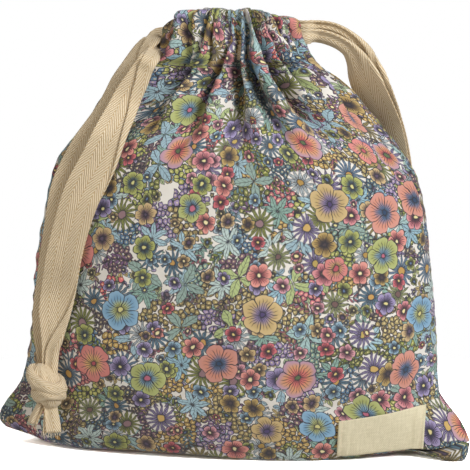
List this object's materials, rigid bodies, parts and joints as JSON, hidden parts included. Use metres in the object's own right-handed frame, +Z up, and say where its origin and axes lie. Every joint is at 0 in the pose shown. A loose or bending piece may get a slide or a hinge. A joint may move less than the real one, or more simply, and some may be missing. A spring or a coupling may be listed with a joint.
{
  "type": "kinchaku drawstring pouch",
  "caption": "Soft cotton drawstring pouch with a gathered mouth, a folded flat base, herringbone tapes knotted at each side and a sewn-on blank label.",
  "frame": {"origin": "the middle of the flat base, on the surface that the pouch stands on", "axes": "+Z up to the mouth, the front with the label faces -Y, the side seams are at -X and +X"},
  "size_m": [0.235, 0.0916, 0.2191],
  "materials": {
    "printed_cotton": "matt printed plain-weave cotton",
    "herringbone_tape": "matt unbleached herringbone cotton tape",
    "label_cotton": "matt cream cotton"
  },
  "bodies": {
    "root": {"pouch_body": "printed_cotton", "drawstring_left": "herringbone_tape", "drawstring_right": "herringbone_tape", "label": "label_cotton"}
  },
  "joints": []
}
